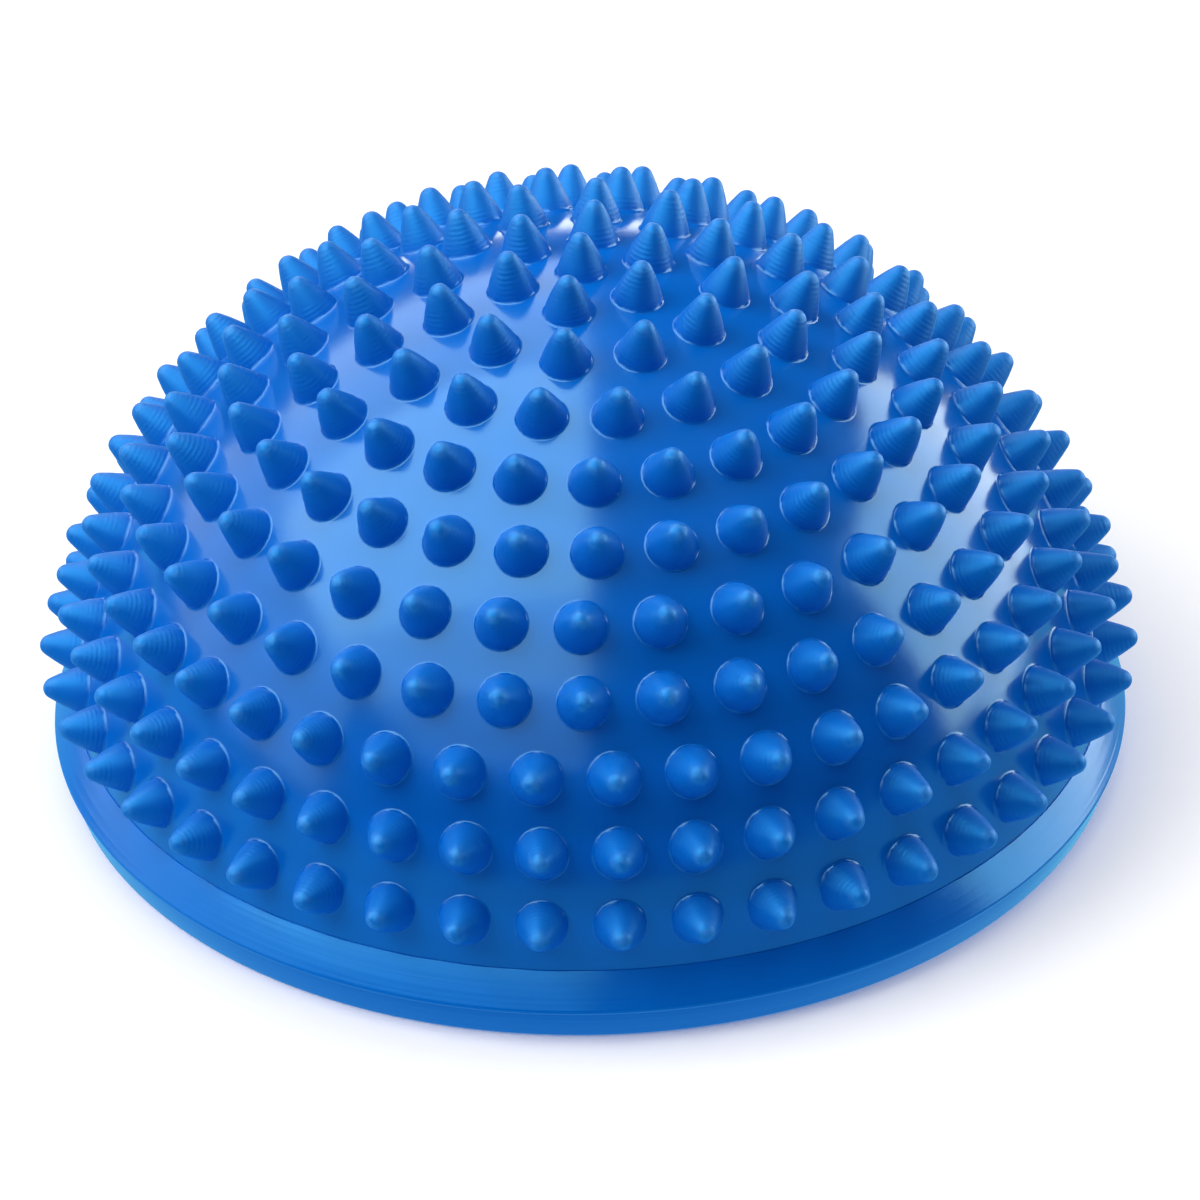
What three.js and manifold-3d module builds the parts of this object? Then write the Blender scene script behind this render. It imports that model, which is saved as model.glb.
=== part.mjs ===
// Balance dome trainer: an air-filled half ball of soft PVC, covered in massage nubs,
// on a flat round base with an air valve and its pull-out stopper in the middle.
// Millimetres, +Z up. The origin is the centre of the underside, on the ground.

import * as THREE from 'three';
import { ConvexGeometry } from 'three/addons/geometries/ConvexGeometry.js';
import { mergeVertices } from 'three/addons/utils/BufferGeometryUtils.js';
import Module from 'manifold-3d';

const wasm = await Module();
wasm.setup();

// Dome: a spherical skin whose centre is at ground level
const domeRadius = 77.2;
const domeWall = 2.0;
const seamHeight = 10.0;
const seamGap = 0.3;
const domeSegments = 72;
const airSegments = 36;
const airBands = 8;

// Nubs: cones with a blunt tip, in rings of equal pitch around the top nub
const nubHeight = 6.2;
const nubRadius = 3.9;
const nubShoulderRadius = 2.0;
const nubShoulderHeight = 5.0;
const nubRoot = 0.8;
const nubSides = 6;
const ringPitch = 7.75;

// Each ring's number of nubs, and the azimuth of its first nub from the front (-Y) in degrees,
// from the ring next to the top nub down to the one above the seam
const nubRings = [
  { count: 6, start: -10 },
  { count: 12, start: -6.5 },
  { count: 18, start: 9 },
  { count: 24, start: 2 },
  { count: 29, start: 1.8 },
  { count: 32, start: -0.9 },
  { count: 36, start: -0.6 },
  { count: 40, start: 2.8 },
  { count: 43, start: 3 },
  { count: 44, start: 2.8 },
];

// Base: a flanged pan with a flat foot, and ribs under its floor
const rimRadius = 80.0;
const rimHeight = 5.4;
const rimEdge = 0.5;
const flangeTopRadius = 76.6;
const footRadius = 78.4;
const footChamfer = 0.5;
const footInnerRadius = 66.0;
const baseWall = 2.4;
const floorUnderside = 1.2;
const floorTop = 3.4;
const spigotRadius = 72.3;
const spigotWall = 2.0;
const spigotTop = 13.5;
const ribRadii = [51, 33];
const ribWidth = 2.4;
const ribFlank = 0.6;
const baseSegments = 60;

// Valve: a boss in the base holds a soft insert, and the stopper fills the insert's bore
const recessRadius = 14.0;
const recessCeiling = 3.8;
const recessFloorTop = 6.2;
const bossRadius = 8.4;
const bossTop = 14.0;
const bossBore = 5.0;
const clearance = 0.3;
const insertRadius = bossBore - clearance;
const insertFlangeRadius = 7.2;
const insertFlangeThickness = 1.0;
const insertLipRadius = 5.8;
const insertLipHeight = 1.6;
const insertBore = 2.6;
const plugHeadRadius = 6.0;
const plugHeadThickness = 1.2;
const plugStemRadius = insertBore - clearance;
const plugTipRadius = 1.4;
const plugTipLength = 2.0;
const plugStemTop = 13.0;
const valveSegments = 32;

const skinBlue = new THREE.Color(0.0, 0.125, 0.56);
const insertBlue = new THREE.Color(0.01, 0.07, 0.3);
const plugWhite = new THREE.Color(0.8, 0.8, 0.78);

const radians = THREE.MathUtils.degToRad;

// A closed solid from any three.js geometry: shared corners merged, collapsed triangles dropped
function solidFrom(geometry) {
  const plain = geometry.clone();
  plain.deleteAttribute('normal');
  plain.deleteAttribute('uv');
  const merged = mergeVertices(plain, 1e-4);
  const corners = merged.index.array;
  const kept = [];
  for (let i = 0; i < corners.length; i += 3) {
    const [a, b, c] = [corners[i], corners[i + 1], corners[i + 2]];
    if (a !== b && b !== c && c !== a) kept.push(a, b, c);
  }
  return new wasm.Manifold(new wasm.Mesh({
    numProp: 3,
    vertProperties: new Float32Array(merged.attributes.position.array),
    triVerts: new Uint32Array(kept),
  }));
}

// Turns a closed [radius, height] profile about the Z axis
function revolve(profile, segments) {
  const points = profile.map(([radius, height]) => new THREE.Vector2(radius, height));
  const geometry = new THREE.LatheGeometry(points, segments);
  geometry.rotateX(Math.PI / 2);
  return solidFrom(geometry);
}

function meshFrom(solid, name, color, roughness) {
  const { vertProperties, triVerts } = solid.getMesh();
  const geometry = new THREE.BufferGeometry();
  geometry.setAttribute('position', new THREE.BufferAttribute(vertProperties, 3));
  geometry.setIndex(new THREE.BufferAttribute(triVerts, 1));
  geometry.computeVertexNormals();
  const material = new THREE.MeshStandardMaterial({ color, roughness, metalness: 0 });
  const mesh = new THREE.Mesh(geometry, material);
  mesh.name = name;
  return mesh;
}

// Points of an arc about the origin, from polar angle to polar angle (radians from +Z)
function arc(radius, from, to, steps) {
  const points = [];
  for (let i = 0; i <= steps; i += 1) {
    const polar = from + (to - from) * i / steps;
    points.push([radius * Math.sin(polar), radius * Math.cos(polar)]);
  }
  return points;
}

// Points of the dome's lower edge, where it stands on the base
function seamPoints(edgeHeight) {
  const points = [];
  const radius = Math.sqrt(domeRadius ** 2 - edgeHeight ** 2);
  for (let i = 0; i < domeSegments; i += 1) {
    const turn = 2 * Math.PI * i / domeSegments;
    points.push(new THREE.Vector3(radius * Math.cos(turn), radius * Math.sin(turn), edgeHeight));
  }
  return points;
}

// One nub along +Y with its widest ring at height 0, turned to stand square on the dome
function nubGeometry(polar, azimuth) {
  const profile = [
    [0, -nubRoot],
    [nubRadius / 2, -nubRoot],
    [nubRadius, 0],
    [nubShoulderRadius, nubShoulderHeight],
    [0, nubHeight],
  ];
  const points = profile.map(([radius, height]) => new THREE.Vector2(radius, height));
  const outward = new THREE.Vector3(
    Math.sin(polar) * Math.sin(azimuth),
    -Math.sin(polar) * Math.cos(azimuth),
    Math.cos(polar),
  );
  const turn = new THREE.Quaternion().setFromUnitVectors(new THREE.Vector3(0, 1, 0), outward);
  const foot = outward.clone().multiplyScalar(Math.sqrt(domeRadius ** 2 - nubRadius ** 2));
  const place = new THREE.Matrix4().compose(foot, turn, new THREE.Vector3(1, 1, 1));
  return new THREE.LatheGeometry(points, nubSides).applyMatrix4(place);
}

// The corners where a nub's widest ring meets the skin
function nubFootPoints(geometry) {
  const position = geometry.attributes.position;
  const points = [];
  for (let i = 0; i < position.count; i += 1) {
    const point = new THREE.Vector3().fromBufferAttribute(position, i);
    if (Math.abs(point.length() - domeRadius) < 0.01) points.push(point);
  }
  return points;
}

function domeShell() {
  const nubs = [nubGeometry(0, 0)];
  nubRings.forEach(({ count, start }, index) => {
    const polar = radians(ringPitch) * (index + 1);
    for (let i = 0; i < count; i += 1) {
      nubs.push(nubGeometry(polar, radians(start + 360 * i / count)));
    }
  });
  // The skin's facets run between the feet of the nubs, all of them on the sphere
  const edgeHeight = seamHeight + seamGap;
  const skin = solidFrom(new ConvexGeometry([
    ...nubs.flatMap(nubFootPoints),
    ...seamPoints(edgeHeight),
  ]));
  const innerRadius = domeRadius - domeWall;
  const innerEnd = Math.acos(edgeHeight / innerRadius);
  const air = revolve([
    [0, edgeHeight - domeWall],
    [innerRadius * Math.sin(innerEnd), edgeHeight - domeWall],
    ...arc(innerRadius, innerEnd, 0, airBands),
  ], airSegments);
  return wasm.Manifold.union([skin.subtract(air), ...nubs.map(solidFrom)]);
}

function baseShell() {
  const profile = [
    [footInnerRadius, 0],
    [footRadius - footChamfer, 0],
    [footRadius, footChamfer],
    [rimRadius - rimEdge / 2, rimHeight - rimEdge],
    [rimRadius, rimHeight],
    [rimRadius - rimEdge, rimHeight + rimEdge],
    [flangeTopRadius, seamHeight],
    [spigotRadius, seamHeight],
    [spigotRadius, spigotTop],
    [spigotRadius - spigotWall, spigotTop],
    [spigotRadius - spigotWall, seamHeight - baseWall],
    [flangeTopRadius - baseWall, seamHeight - baseWall],
    [rimRadius - baseWall, rimHeight],
    [footRadius - baseWall, floorTop],
    [recessRadius + baseWall, floorTop],
    [recessRadius, recessFloorTop],
    [bossRadius, recessFloorTop],
    [bossRadius, bossTop],
    [bossBore, bossTop],
    [bossBore, recessCeiling],
    [recessRadius, recessCeiling],
    [recessRadius, floorUnderside],
  ];
  for (const radius of [...ribRadii].reverse()) {
    const half = ribWidth / 2;
    profile.push([radius - half - ribFlank, floorUnderside]);
    profile.push([radius - half, 0]);
    profile.push([radius + half, 0]);
    profile.push([radius + half + ribFlank, floorUnderside]);
  }
  profile.push([footInnerRadius - ribFlank, floorUnderside]);
  profile.push(profile[0]);
  return revolve(profile, baseSegments);
}

const flangeUnderside = recessCeiling - clearance - insertFlangeThickness;

function valveInsert() {
  const lipBottom = bossTop + clearance;
  const lipTop = lipBottom + insertLipHeight;
  const profile = [
    [insertBore, flangeUnderside],
    [insertFlangeRadius, flangeUnderside],
    [insertFlangeRadius, flangeUnderside + insertFlangeThickness],
    [insertRadius, flangeUnderside + insertFlangeThickness],
    [insertRadius, lipBottom],
    [insertLipRadius, lipBottom],
    [insertRadius, lipTop],
    [insertBore, lipTop],
    [insertBore, flangeUnderside],
  ];
  return revolve(profile, valveSegments);
}

function valvePlug() {
  const headTop = flangeUnderside - clearance;
  const headBottom = headTop - plugHeadThickness;
  const profile = [
    [0, headBottom],
    [plugHeadRadius - clearance, headBottom],
    [plugHeadRadius, headBottom + clearance],
    [plugHeadRadius, headTop],
    [plugStemRadius, headTop],
    [plugStemRadius, plugStemTop],
    [plugTipRadius, plugStemTop + plugTipLength],
    [0, plugStemTop + plugTipLength],
  ];
  return revolve(profile, valveSegments);
}

const trainer = new THREE.Group();
trainer.add(meshFrom(domeShell(), 'dome_shell', skinBlue, 0.35));
trainer.add(meshFrom(baseShell(), 'base_shell', skinBlue, 0.35));
trainer.add(meshFrom(valveInsert(), 'valve_insert', insertBlue, 0.6));
trainer.add(meshFrom(valvePlug(), 'valve_plug', plugWhite, 0.4));

export default trainer;
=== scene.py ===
"""Looks for the balance dome trainer: a blue PVC half ball with massage nubs on a flanged base."""

import math
import random

import bmesh
import bpy
import numpy as np
from mathutils import Matrix, Vector


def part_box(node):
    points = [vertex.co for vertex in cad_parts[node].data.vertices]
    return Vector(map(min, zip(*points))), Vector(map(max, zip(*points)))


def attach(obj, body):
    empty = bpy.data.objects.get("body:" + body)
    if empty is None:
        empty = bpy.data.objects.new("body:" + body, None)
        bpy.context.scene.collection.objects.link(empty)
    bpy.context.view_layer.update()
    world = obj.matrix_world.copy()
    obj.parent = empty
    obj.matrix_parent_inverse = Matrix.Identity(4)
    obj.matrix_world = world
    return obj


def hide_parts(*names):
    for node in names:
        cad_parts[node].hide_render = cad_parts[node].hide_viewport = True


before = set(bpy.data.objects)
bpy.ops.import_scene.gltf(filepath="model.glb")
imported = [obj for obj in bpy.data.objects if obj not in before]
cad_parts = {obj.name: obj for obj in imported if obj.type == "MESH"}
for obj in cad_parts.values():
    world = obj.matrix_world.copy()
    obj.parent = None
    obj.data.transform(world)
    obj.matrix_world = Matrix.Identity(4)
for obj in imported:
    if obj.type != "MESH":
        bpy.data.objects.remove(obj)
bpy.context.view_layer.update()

MM = 0.001

# ---------------------------------------------------------------- places from the frame

dome_low, dome_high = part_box("dome_shell")
base_low, base_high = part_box("base_shell")
insert_low, insert_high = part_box("valve_insert")
plug_low, plug_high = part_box("valve_plug")

RIM_RADIUS = base_high.x
LEDGE = dome_low.z - 0.3 * MM         # the base's ledge under the dome
DOME_EDGE = LEDGE + 0.01 * MM         # the dome's lower edge

# ---------------------------------------------------------------- sizes of the fine surface

NUB_HEIGHT = 6.2 * MM
DOME_RADIUS = dome_high.z - NUB_HEIGHT
DOME_WALL = 2.0 * MM
DOME_LIP = 0.06 * MM
SEAM_SEGMENTS = 264

NUB_TIP = 1.6 * MM                    # radius of the rounded tip
NUB_RADIUS = 3.55 * MM                # at the crease above the collar
NUB_COLLAR = 0.5 * MM                 # height of the collar under the crease
NUB_CREASE = 0.12 * MM                # how far the crease lies below the collar's top
NUB_BULGE = 0.12 * MM                 # how far the flank bows out
NUB_FILLET = 0.42 * MM
NUB_LEAN = 0.22 * MM                  # most that a tip stands off its axis
NUB_UNEVEN = 0.022                    # most that a section's waves change its radius, as a share
NUB_SIDES = 22
RING_PITCH = math.radians(7.75)
# nubs in each ring and the first one's azimuth from the front, from the top nub outwards
NUB_RINGS = [
    (1, 0), (6, -10), (12, -6.5), (18, 9), (24, 2), (29, 1.8),
    (32, -0.9), (36, -0.6), (40, 2.8), (43, 3), (44, 2.8),
]

# ---------------------------------------------------------------- mesh helpers


def finish_mesh(bm, name, normals=None, sharp=None):
    """Turns a bmesh into an object: smooth faces, given corner normals or sharp edges by angle."""
    mesh = bpy.data.meshes.new(name)
    bm.verts.index_update()
    order = [None] * len(bm.verts)
    if normals is not None:
        bm.normal_update()
        for vert in bm.verts:
            order[vert.index] = normals.get(vert, vert.normal).copy()
    bm.to_mesh(mesh)
    bm.free()
    mesh.polygons.foreach_set("use_smooth", [True] * len(mesh.polygons))
    if sharp is not None:
        mesh.set_sharp_from_angle(angle=math.radians(sharp))
    if normals is not None:
        mesh.normals_split_custom_set_from_vertices([tuple(n) for n in order])
    mesh.update()
    obj = bpy.data.objects.new(name, mesh)
    bpy.context.scene.collection.objects.link(obj)
    return obj


def arc(centre, radius, start, stop, steps):
    """Points on a circle in a (radius, height) profile, with angles in degrees from outwards."""
    angles = np.radians(np.linspace(start, stop, steps + 1))
    return [(centre[0] + radius * math.cos(a), centre[1] + radius * math.sin(a)) for a in angles]


def lathe(name, profile, segments, sharp=35):
    """A closed profile of (radius, height) points turned about Z; a radius of 0 becomes a pole."""
    bm = bmesh.new()
    rings = []
    for radius, height in profile:
        if radius < 1e-7:
            rings.append([bm.verts.new((0, 0, height))])
            continue
        turn = [2 * math.pi * k / segments for k in range(segments)]
        rings.append([bm.verts.new((radius * math.cos(a), radius * math.sin(a), height)) for a in turn])
    closed = len(rings[0]) > 1
    pairs = list(zip(rings, rings[1:])) + ([(rings[-1], rings[0])] if closed else [])
    for low, high in pairs:
        for k in range(segments):
            n = (k + 1) % segments
            corners = [low[k % len(low)], low[n % len(low)], high[n % len(high)], high[k % len(high)]]
            corners = list(dict.fromkeys(corners))
            if len(corners) > 2:
                bm.faces.new(corners)
    bmesh.ops.recalc_face_normals(bm, faces=bm.faces)
    return finish_mesh(bm, name, sharp=sharp)


# ---------------------------------------------------------------- the dome and its nubs


def nub_profile():
    """(radius, height above the skin) of a nub's outline, foot to tip."""
    foot = NUB_RADIUS + NUB_FILLET
    points = []
    for turn in (90, 62, 34, 6):
        a = math.radians(180 + turn)
        points.append((foot + NUB_FILLET * math.cos(a), NUB_FILLET * (1 + math.sin(a))))
    points.append((NUB_RADIUS, NUB_COLLAR - NUB_CREASE))
    tip_centre = NUB_HEIGHT - NUB_TIP
    rise = tip_centre - NUB_COLLAR
    # the flank is the straight line from the crease that touches the tip's circle
    flank = math.acos(NUB_TIP / math.hypot(NUB_RADIUS, rise)) - math.atan2(rise, NUB_RADIUS)
    touch = (NUB_TIP * math.cos(flank), tip_centre + NUB_TIP * math.sin(flank))
    for share in (0.03, 0.36, 0.7, 1.0):
        out = NUB_BULGE * math.sin(math.pi * share)
        radius = NUB_RADIUS + (touch[0] - NUB_RADIUS) * share + out * math.cos(flank)
        height = NUB_COLLAR + (touch[1] - NUB_COLLAR) * share + out * math.sin(flank)
        points.append((radius, height))
    for share in (0.27, 0.52, 0.77):
        a = flank + (math.pi / 2 - flank) * share
        points.append((NUB_TIP * math.cos(a), tip_centre + NUB_TIP * math.sin(a)))
    return points


def nub_axes():
    """The directions in which the nubs stand, ring by ring."""
    axes = []
    for ring, (count, start) in enumerate(NUB_RINGS):
        polar = RING_PITCH * ring
        for i in range(count):
            azimuth = math.radians(start + 360 * i / count)
            axes.append(Vector((math.sin(polar) * math.sin(azimuth),
                                -math.sin(polar) * math.cos(azimuth),
                                math.cos(polar))))
    return axes


def add_nub(bm, axis, profile, normals, rise, chance):
    """One nub's rings of vertices and faces, a little uneven as moulded. Returns its foot ring."""
    side = axis.orthogonal().normalized()
    other = axis.cross(side)
    lean_to = chance.uniform(0, 2 * math.pi)
    lean_by = chance.uniform(0, NUB_LEAN)
    bend = (side * math.cos(lean_to) + other * math.sin(lean_to)) * lean_by
    waves = []
    for order in (2, 3, 5):
        size = chance.uniform(0, NUB_UNEVEN)
        waves.append((order, size, chance.uniform(0, 2 * math.pi)))
    rings = []
    for step, (radius, height) in enumerate(profile):
        base = math.sqrt(DOME_RADIUS ** 2 - radius ** 2)
        share = height / NUB_HEIGHT
        ring = []
        for k in range(NUB_SIDES):
            a = 2 * math.pi * k / NUB_SIDES
            across = side * math.cos(a) + other * math.sin(a)
            uneven = sum(size * math.cos(order * a + phase) for order, size, phase in waves)
            width = radius * (1 + uneven * min(1, 2 * share))
            vert = bm.verts.new(axis * (base + height) + across * width + bend * share ** 2)
            vert[rise] = height / MM
            if step == 0:
                normals[vert] = vert.co.normalized()
            ring.append(vert)
        rings.append(ring)
    tip = bm.verts.new(axis * (DOME_RADIUS + NUB_HEIGHT) + bend)
    tip[rise] = NUB_HEIGHT / MM
    for low, high in zip(rings, rings[1:]):
        for k in range(NUB_SIDES):
            n = (k + 1) % NUB_SIDES
            bm.faces.new((low[k], low[n], high[n], high[k]))
    for k in range(NUB_SIDES):
        bm.faces.new((rings[-1][k], rings[-1][(k + 1) % NUB_SIDES], tip))
    return rings[0]


def add_web(bm, feet, seam):
    """The skin between the nubs' feet and the seam ring: the hull of those points on the sphere."""
    hull = bmesh.new()
    twin = {}
    owner = {}
    for index, ring in enumerate([*feet, seam]):
        for vert in ring:
            copy = hull.verts.new(vert.co)
            twin[copy] = vert
            owner[copy] = index
    bmesh.ops.convex_hull(hull, input=hull.verts)
    for face in hull.faces:
        if len({owner[v] for v in face.verts}) > 1:
            bm.faces.new([twin[v] for v in face.verts])
    hull.free()


def build_dome():
    """One closed skin: the nubs, the web between them, the rounded lower lip and the inside."""
    bm = bmesh.new()
    rise = bm.verts.layers.float.new("nub_rise")
    normals = {}
    profile = nub_profile()
    chance = random.Random(4)
    feet = [add_nub(bm, axis, profile, normals, rise, chance) for axis in nub_axes()]

    turns = [2 * math.pi * k / SEAM_SEGMENTS for k in range(SEAM_SEGMENTS)]

    def ring(radius, height):
        return [bm.verts.new((radius * math.cos(a), radius * math.sin(a), height)) for a in turns]

    lip_height = DOME_EDGE + DOME_LIP
    outer = math.sqrt(DOME_RADIUS ** 2 - lip_height ** 2)
    seam = ring(outer, lip_height)
    for vert in seam:
        normals[vert] = vert.co.normalized()
    add_web(bm, feet, seam)

    inner_radius = DOME_RADIUS - DOME_WALL
    inner = math.sqrt(inner_radius ** 2 - DOME_EDGE ** 2)
    lip = arc((outer - DOME_LIP, lip_height), DOME_LIP, 0, -90, 4)[1:]
    inside = []
    start = math.acos(DOME_EDGE / inner_radius)
    for share in np.linspace(0, 1, 12)[:-1]:
        polar = start * (1 - share)
        inside.append((inner_radius * math.sin(polar), inner_radius * math.cos(polar)))
    rings = [seam] + [ring(r, z) for r, z in [*lip, (inner + 0.1 * MM, DOME_EDGE), *inside]]
    for low, high in zip(rings, rings[1:]):
        for k in range(SEAM_SEGMENTS):
            n = (k + 1) % SEAM_SEGMENTS
            bm.faces.new((low[k], low[n], high[n], high[k]))
    pole = bm.verts.new((0, 0, inner_radius))
    for k in range(SEAM_SEGMENTS):
        bm.faces.new((rings[-1][k], rings[-1][(k + 1) % SEAM_SEGMENTS], pole))
    bmesh.ops.recalc_face_normals(bm, faces=bm.faces)
    return finish_mesh(bm, "dome_skin", normals=normals)


# ---------------------------------------------------------------- the base


def build_base():
    """The flanged pan with its rim edge, flat foot, underside ribs and valve boss."""
    r = RIM_RADIUS
    foot, flange_top = r - 1.6 * MM, r - 3.4 * MM
    foot_inner, under, floor_top = 66 * MM, 1.2 * MM, 3.4 * MM
    spigot, spigot_top, wall = 72.3 * MM, 13.5 * MM, 2.4 * MM
    recess, ceiling, recess_top = 14 * MM, 3.8 * MM, 6.2 * MM
    boss, boss_top, bore = 8.4 * MM, base_high.z, 5 * MM
    profile = [(foot_inner, 0)]
    profile += arc((foot - 0.7 * MM, 0.7 * MM), 0.7 * MM, -90, -17, 5)
    profile += [(r - 0.55 * MM, 4.5 * MM), (r - 0.5 * MM, 4.75 * MM)]
    profile += arc((r - 0.6 * MM, 5.35 * MM), 0.6 * MM, -50, 36, 9)
    profile += arc((flange_top - 0.05 * MM, LEDGE - 0.1 * MM), 0.1 * MM, 40, 90, 4)
    profile += [(spigot, LEDGE), (spigot, spigot_top), (spigot - 2 * MM, spigot_top)]
    profile += [(spigot - 2 * MM, LEDGE - wall), (flange_top - wall, LEDGE - wall), (r - wall, 5.4 * MM)]
    profile += [(foot - wall, floor_top), (recess + wall, floor_top), (recess, recess_top)]
    profile += [(boss, recess_top), (boss, boss_top), (bore, boss_top), (bore, ceiling)]
    profile += arc((recess - 0.8 * MM, ceiling - 0.8 * MM), 0.8 * MM, 90, 0, 4)
    profile += arc((recess + 0.4 * MM, under + 0.4 * MM), 0.4 * MM, 180, 270, 4)
    for radius in (33 * MM, 51 * MM):
        half = 1.2 * MM
        profile += arc((radius - half - 0.9 * MM, under - 0.3 * MM), 0.3 * MM, 90, 30, 3)
        profile += arc((radius - half + 0.3 * MM, 0.4 * MM), 0.4 * MM, 210, 270, 3)
        profile += arc((radius + half - 0.3 * MM, 0.4 * MM), 0.4 * MM, 270, 330, 3)
        profile += arc((radius + half + 0.9 * MM, under - 0.3 * MM), 0.3 * MM, 150, 90, 3)
    profile += arc((foot_inner - 1 * MM, under - 0.3 * MM), 0.3 * MM, 90, 30, 3)
    return lathe("base_pan", profile, 320, sharp=30)


def build_insert():
    """The soft valve sleeve: a flange under the base, a neck through the boss and a barbed lip."""
    flange, flange_bottom = insert_high.x, insert_low.z
    flange_top, neck, bore = flange_bottom + 1.0 * MM, 4.7 * MM, 2.6 * MM
    lip_top, lip_bottom, lip = insert_high.z, insert_high.z - 1.6 * MM, 5.8 * MM
    profile = arc((bore + 0.4 * MM, flange_bottom + 0.4 * MM), 0.4 * MM, 180, 270, 4)
    profile += arc((flange - 0.45 * MM, flange_bottom + 0.45 * MM), 0.45 * MM, -90, 0, 5)
    profile += arc((flange - 0.2 * MM, flange_top - 0.2 * MM), 0.2 * MM, 0, 90, 3)
    profile += [(neck, flange_top), (neck, lip_bottom), (lip, lip_bottom)]
    profile += [(lip, lip_bottom + 0.2 * MM), (neck, lip_top), (bore, lip_top)]
    return lathe("valve_sleeve", profile, 96, sharp=30)


def build_plug():
    """The stopper: a low round head with a finger hollow, and a stem with two sealing rings."""
    head, bottom = plug_high.x, plug_low.z
    top, stem = bottom + 1.2 * MM, 2.3 * MM
    tip_top = plug_high.z
    profile = [(0, bottom + 0.45 * MM), (1.6 * MM, bottom + 0.42 * MM), (2.9 * MM, bottom + 0.3 * MM)]
    profile += arc((4.2 * MM, bottom + 0.35 * MM), 0.35 * MM, 240, 280, 3)
    profile += arc((head - 0.4 * MM, bottom + 0.4 * MM), 0.4 * MM, -90, 0, 5)
    profile += arc((head - 0.2 * MM, top - 0.2 * MM), 0.2 * MM, 0, 90, 3)
    profile += [(stem, top)]
    for ring in (6.0, 9.5):
        profile += arc((stem - 0.1 * MM, ring * MM), 0.3 * MM, -70, 70, 6)
    profile += arc((stem - 0.6 * MM, tip_top - 2.2 * MM), 0.6 * MM, 0, 30, 2)
    profile += arc((1.0 * MM, tip_top - 0.5 * MM), 0.5 * MM, 25, 90, 4)
    profile += [(0, tip_top)]
    return lathe("stopper", profile, 96, sharp=30)


# ---------------------------------------------------------------- materials


BLUE = (0.0, 0.135, 0.57)
DEEP_BLUE = (0.0, 0.118, 0.51)
# the base's blue is the dome's plastic painted lighter: painted light for the upward-facing flange and
# its side wall
BASE_BLUE = (0.0, 0.145, 0.63)
PALE_BLUE = (0.16, 0.4, 0.8)
STOPPER_WHITE = (0.78, 0.78, 0.75)
RUBBER_BLUE = (0.01, 0.07, 0.3)
WHITE = (1.0, 1.0, 1.0)
# tints of the mirrored light
SKIN_TINT = (0.4, 0.88, 1.0)
NUB_TINT = (0.12, 0.8, 1.0)
BASE_TINT = (0.16, 0.8, 1.0)
PVC_IOR = 1.53


def principled(name):
    """A new material with its nodes and links."""
    material = bpy.data.materials.new(name)
    material.use_nodes = True
    return material, material.node_tree.nodes, material.node_tree.links


def math_node(nodes, links, operation, first, second):
    node = nodes.new("ShaderNodeMath")
    node.operation = operation
    for socket, value in zip(node.inputs, (first, second)):
        if isinstance(value, (int, float)):
            socket.default_value = value
        else:
            links.new(value, socket)
    return node.outputs[0]


def map_range(nodes, links, value, low, high, out_low, out_high):
    node = nodes.new("ShaderNodeMapRange")
    links.new(value, node.inputs["Value"])
    for key, number in (("From Min", low), ("From Max", high), ("To Min", out_low), ("To Max", out_high)):
        node.inputs[key].default_value = number
    return node.outputs["Result"]


def noise(nodes, links, vector, scale, detail=2.0):
    node = nodes.new("ShaderNodeTexNoise")
    node.inputs["Scale"].default_value = scale
    node.inputs["Detail"].default_value = detail
    links.new(vector, node.inputs["Vector"])
    return node.outputs["Fac"]


def bump(nodes, links, height, distance, before=None):
    """A bump of the given depth in metres from a 0 to 1 height, on top of another bump."""
    node = nodes.new("ShaderNodeBump")
    node.inputs["Distance"].default_value = distance
    links.new(height, node.inputs["Height"])
    if before is not None:
        links.new(before, node.inputs["Normal"])
    return node.outputs["Normal"]


def mixed_color(nodes, links, factor, first, second):
    """A blend of two colours, each a tuple or a socket."""
    node = nodes.new("ShaderNodeMix")
    node.data_type = "RGBA"
    links.new(factor, node.inputs["Factor"])
    for key, value in (("A", first), ("B", second)):
        socket = next(i for i in node.inputs if i.name == key and i.type == "RGBA")
        if isinstance(value, tuple):
            socket.default_value = (*value, 1)
        else:
            links.new(value, socket)
    return next(o for o in node.outputs if o.type == "RGBA")


def pvc(name, color, tint=BASE_TINT):
    """The start that the plastic and rubber materials share, with a place in the piece's own space."""
    material, nodes, links = principled(name)
    shader = nodes["Principled BSDF"]
    shader.inputs["Base Color"].default_value = (*color, 1)
    shader.inputs["IOR"].default_value = PVC_IOR
    shader.inputs["Specular Tint"].default_value = (*tint, 1)
    place = nodes.new("ShaderNodeTexCoord").outputs["Object"]
    return nodes, links, shader, place, material


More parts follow.
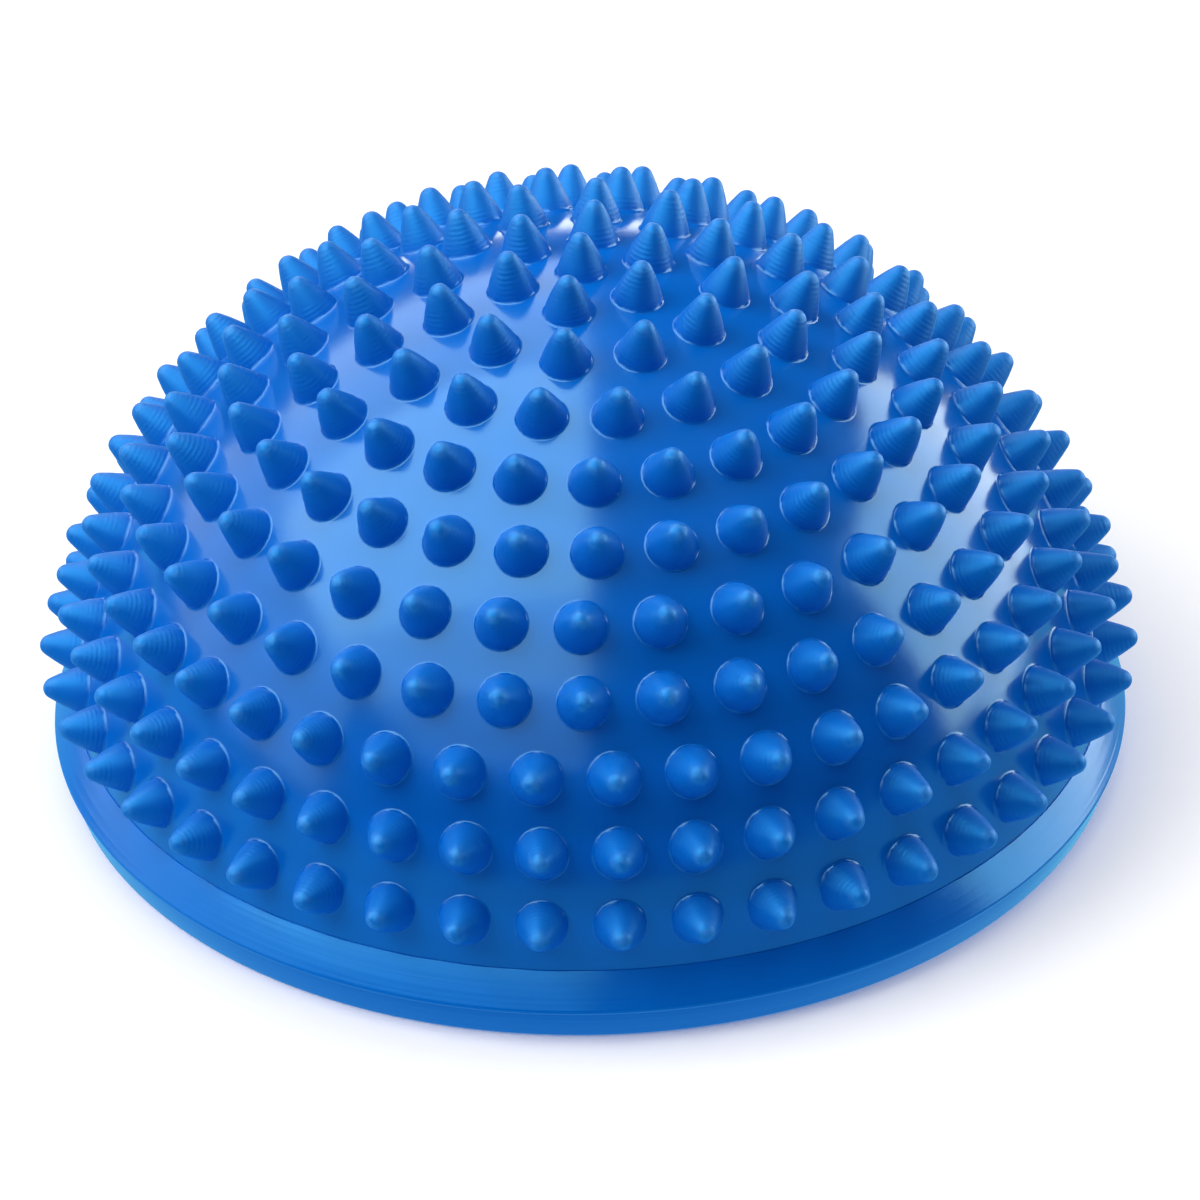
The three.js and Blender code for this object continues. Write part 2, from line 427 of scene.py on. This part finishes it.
def dome_material():
    """Glossy skin, satin nubs with fine rings from the mould, a painted highlight on the tips and a few
    pale specks.
    """
    nodes, links, shader, place, material = pvc("dome_blue", BLUE)
    attribute = nodes.new("ShaderNodeAttribute")
    attribute.attribute_name = "nub_rise"
    rise = attribute.outputs["Fac"]

    # gloss: a smeared skin and satin nubs
    on_nub = map_range(nodes, links, rise, 0.2, 0.8, 0.0, 1.0)
    smear = map_range(nodes, links, noise(nodes, links, place, 90, 4), 0.3, 0.7, 0.12, 0.19)
    satin = map_range(nodes, links, noise(nodes, links, place, 700), 0.3, 0.7, 0.42, 0.52)
    gap = math_node(nodes, links, "SUBTRACT", satin, smear)
    extra = math_node(nodes, links, "MULTIPLY", gap, on_nub)
    links.new(math_node(nodes, links, "ADD", smear, extra), shader.inputs["Roughness"])
    links.new(mixed_color(nodes, links, on_nub, SKIN_TINT, NUB_TINT), shader.inputs["Specular Tint"])

    # colour: slow clouds, a painted highlight on the nub tips in patches, and specks
    cloud = map_range(nodes, links, noise(nodes, links, place, 55, 3), 0.3, 0.7, 0.0, 0.5)
    color = mixed_color(nodes, links, cloud, BLUE, DEEP_BLUE)
    # painted highlight: the colour turns towards PALE_BLUE near the nub tips, in patches
    tip_highlight = map_range(nodes, links, rise, 4.4, 6.1, 0.0, 0.2)
    patchy = map_range(nodes, links, noise(nodes, links, place, 900), 0.4, 0.6, 0.1, 1.0)
    patchy_tip_highlight = math_node(nodes, links, "MULTIPLY", tip_highlight, patchy)
    color = mixed_color(nodes, links, patchy_tip_highlight, color, PALE_BLUE)
    cells = nodes.new("ShaderNodeTexVoronoi")
    cells.inputs["Scale"].default_value = 95
    links.new(place, cells.inputs["Vector"])
    near = map_range(nodes, links, cells.outputs["Distance"], 0.02, 0.045, 1.0, 0.0)
    tone = nodes.new("ShaderNodeSeparateColor")
    links.new(cells.outputs["Color"], tone.inputs["Color"])
    chosen = math_node(nodes, links, "GREATER_THAN", tone.outputs["Red"], 0.8)
    speck = math_node(nodes, links, "MULTIPLY", near, chosen)
    color = mixed_color(nodes, links, speck, color, PALE_BLUE)
    links.new(color, shader.inputs["Base Color"])

    # relief: rings from the mould over a fine grain and slow waves
    wander = math_node(nodes, links, "MULTIPLY", noise(nodes, links, place, 260), 2.2)
    turns = math_node(nodes, links, "ADD", math_node(nodes, links, "MULTIPLY", rise, 9.5), wander)
    wave = math_node(nodes, links, "SINE", turns, 0)
    fading = map_range(nodes, links, noise(nodes, links, place, 330), 0.42, 0.62, 0.1, 1.0)
    fading = math_node(nodes, links, "MULTIPLY", fading, on_nub)
    rings = math_node(nodes, links, "MULTIPLY", wave, fading)
    normal = bump(nodes, links, noise(nodes, links, place, 42, 1), 0.16 * MM)
    normal = bump(nodes, links, noise(nodes, links, place, 2600), 0.006 * MM, normal)
    normal = bump(nodes, links, rings, 0.011 * MM, normal)
    links.new(normal, shader.inputs["Normal"])
    return material


def turned_material(name, color, tint, gloss, groove):
    """Moulded plastic with fine concentric marks, as if from a turned mould."""
    nodes, links, shader, place, material = pvc(name, color, tint=tint)
    parts = nodes.new("ShaderNodeSeparateXYZ")
    links.new(place, parts.inputs[0])
    across = math_node(nodes, links, "MULTIPLY", parts.outputs["X"], parts.outputs["X"])
    along = math_node(nodes, links, "MULTIPLY", parts.outputs["Y"], parts.outputs["Y"])
    radius = math_node(nodes, links, "SQRT", math_node(nodes, links, "ADD", across, along), 0)
    # noise drawn out along the circles about Z
    marks = nodes.new("ShaderNodeCombineXYZ")
    stretched = ((parts.outputs["X"], 12), (radius, 1300), (parts.outputs["Z"], 1300))
    for axis, (source, scale) in enumerate(stretched):
        links.new(math_node(nodes, links, "MULTIPLY", source, scale), marks.inputs[axis])
    lines = noise(nodes, links, marks.outputs[0], 1.0, 3)
    smear = noise(nodes, links, place, 60, 4)
    rough = math_node(nodes, links, "ADD", math_node(nodes, links, "MULTIPLY", lines, 0.12),
                      map_range(nodes, links, smear, 0.3, 0.7, gloss - 0.08, gloss - 0.02))
    links.new(rough, shader.inputs["Roughness"])
    shade = map_range(nodes, links, smear, 0.3, 0.7, 0.0, 0.4)
    darker = tuple(0.85 * c for c in color)
    links.new(mixed_color(nodes, links, shade, color, darker), shader.inputs["Base Color"])
    normal = bump(nodes, links, lines, groove)
    normal = bump(nodes, links, noise(nodes, links, place, 40, 1), 0.12 * MM, normal)
    links.new(normal, shader.inputs["Normal"])
    return material


def rubber_material():
    """Matt, finely grained rubber."""
    nodes, links, shader, place, material = pvc("sleeve_rubber", RUBBER_BLUE)
    grain = noise(nodes, links, place, 900, 3)
    links.new(map_range(nodes, links, grain, 0.3, 0.7, 0.5, 0.62), shader.inputs["Roughness"])
    links.new(bump(nodes, links, grain, 0.02 * MM), shader.inputs["Normal"])
    return material


# ---------------------------------------------------------------- assembly

dome = build_dome()
base = build_base()
insert = build_insert()
plug = build_plug()

dome_blue = dome_material()
base_blue = turned_material("base_blue", BASE_BLUE, BASE_TINT, 0.2, 0.04 * MM)
stopper_white = turned_material("stopper_white", STOPPER_WHITE, WHITE, 0.36, 0.006 * MM)
for piece, material, body, node, slot in (
    (dome, dome_blue, "body", "dome_shell", "dome_pvc"),
    (base, base_blue, "body", "base_shell", "base_pvc"),
    (insert, rubber_material(), "body", "valve_insert", "valve_rubber"),
    (plug, stopper_white, "plug", "valve_plug", "plug_plastic"),
):
    piece.data.materials.append(material)
    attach(piece, body)
    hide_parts(node)

# ---------------------------------------------------------------- camera

CAMERA_ELEVATION = math.radians(32.93)
CAMERA_DISTANCE = 0.8
CAMERA_ROLL = math.radians(-1.12)
CAMERA_TARGET = Vector((0.0018, 0.0, 0.0212))
FOCAL_SHARE = 5393 / 1200          # focal length over image width
SENSOR = 36


def add_camera():
    data = bpy.data.cameras.new("camera")
    data.sensor_width = SENSOR
    data.lens = FOCAL_SHARE * SENSOR
    data.clip_start, data.clip_end = 0.01, 50
    camera = bpy.data.objects.new("camera", data)
    bpy.context.scene.collection.objects.link(camera)
    back = Vector((0, -math.cos(CAMERA_ELEVATION), math.sin(CAMERA_ELEVATION)))
    camera.location = CAMERA_TARGET + back * CAMERA_DISTANCE
    camera.rotation_euler = (math.pi / 2 - CAMERA_ELEVATION, 0, 0)
    camera.rotation_euler.rotate_axis("Z", CAMERA_ROLL)
    bpy.context.scene.camera = camera


add_camera()

# ---------------------------------------------------------------- floor and light


FLOOR_RADIUS = 6
FLOOR_DROP = 0.05 * MM               # the floor lies this far below the foot


def add_floor():
    """A white floor. The glow panels stand in for what it would bounce and mirror onto the part."""
    bm = bmesh.new()
    bmesh.ops.create_circle(bm, cap_ends=True, radius=FLOOR_RADIUS, segments=64)
    floor = finish_mesh(bm, "floor")
    floor.location.z = -FLOOR_DROP
    material, nodes, _ = principled("floor_white")
    shader = nodes["Principled BSDF"]
    shader.inputs["Base Color"].default_value = (0.9, 0.9, 0.9, 1)
    shader.inputs["Roughness"].default_value = 0.9
    shader.inputs["Emission Color"].default_value = (*WHITE, 1)
    shader.inputs["Emission Strength"].default_value = 0.15
    floor.data.materials.append(material)
    floor.visible_glossy = False
    floor.visible_diffuse = False


DOME_MIDDLE = Vector((0, 0, 0.03))


def add_panel(name, corner, across, upwards, radiance):
    """A light panel from one corner and its two edges, in metres; its lit side faces the dome."""
    data = bpy.data.lights.new(name, "AREA")
    data.shape = "RECTANGLE"
    across, upwards = Vector(across), Vector(upwards)
    data.size, data.size_y = across.length, upwards.length
    data.energy = radiance * math.pi * data.size * data.size_y
    light = bpy.data.objects.new(name, data)
    bpy.context.scene.collection.objects.link(light)
    centre = Vector(corner) + across / 2 + upwards / 2
    side, top = across.normalized(), upwards.normalized()
    back = side.cross(top)
    if back.dot(centre - DOME_MIDDLE) < 0:
        side, back = -side, -back
    light.matrix_world = Matrix((
        (side.x, top.x, back.x, centre.x),
        (side.y, top.y, back.y, centre.y),
        (side.z, top.z, back.z, centre.z),
        (0, 0, 0, 1),
    ))
    light.visible_camera = False
    return light


def add_world(strength):
    world = bpy.data.worlds.new("studio")
    world.use_nodes = True
    background = world.node_tree.nodes["Background"]
    background.inputs["Color"].default_value = (*WHITE, 1)
    background.inputs["Strength"].default_value = strength
    bpy.context.scene.world = world


# each panel: corner, edge across, edge upwards, radiance
# these are what the glossy skin mirrors
REFLECTORS = {
    "ceiling": ((0.02, -0.7, 1.2), (-2.0, 0, 0), (0, 1.3, 0), 5.8),
    "ceiling_back": ((0.02, 0.6, 1.2), (-2.0, 0, 0), (0, 2.0, 0), 3.2),
    "ceiling_front": ((0.0, -1.4, 1.2), (-2.0, 0, 0), (0, 0.7, 0), 3.4),
    "ceiling_low": ((-0.05, -2.7, 1.2), (-2.0, 0, 0), (0, 1.3, 0), 1.6),
    "left_wall": ((-2.0, -1.2, 0.15), (0, 3.2, 0), (0, 0, 1.05), 1.8),
    "right_wall": ((1.0, -0.15, 0.02), (0, 1.4, 0), (0, 0, 0.75), 5.8),
    "right_card": ((0.3, 0.0, 0.004), (0.7, 0, 0), (0, 1.1, 0), 5.0),
    "back_wall": ((-0.5, 1.8, 0.0), (1.0, 0, 0), (0, 0, 0.25), 4.0),
}
# these give the matt shading
SOFT_LIGHTS = {
    "key": ((-1.3, 0.35, 0.6), (0, -1.2, 0), (0.6, 0, 0.9), 3.7),
    "top": ((-1.0, -0.7, 1.5), (2.0, 0, 0), (0, 2.0, 0), 1.7),
    "fill": ((1.3, -0.1, 0.3), (0, 1.2, 0), (-0.3, 0, 1.0), 1.2),
}
# the floor's light on the part: a panel just above the floor and under the foot
FLOOR_GLOW = ((-1.2, -1.2, -0.02 * MM), (2.4, 0, 0), (0, 2.4, 0))
GLOW_RADIANCE, GLOW_COLOR = 1.0, (0.2, 0.78, 1.0)
SHEEN_RADIANCE, SHEEN_COLOR = 2.4, (0.12, 0.46, 1.0)
WORLD_STRENGTH = 0.04

add_floor()
add_world(WORLD_STRENGTH)
for panel, (corner, across, upwards, radiance) in REFLECTORS.items():
    add_panel(panel, corner, across, upwards, radiance).visible_diffuse = False
for panel, (corner, across, upwards, radiance) in SOFT_LIGHTS.items():
    add_panel(panel, corner, across, upwards, radiance).visible_glossy = False
add_panel("floor_glow", *FLOOR_GLOW, GLOW_RADIANCE).data.color = GLOW_COLOR
floor_sheen = add_panel("floor_sheen", *FLOOR_GLOW, SHEEN_RADIANCE)
floor_sheen.data.color = SHEEN_COLOR
floor_sheen.visible_diffuse = False
bpy.context.scene.view_settings.view_transform = "Standard"
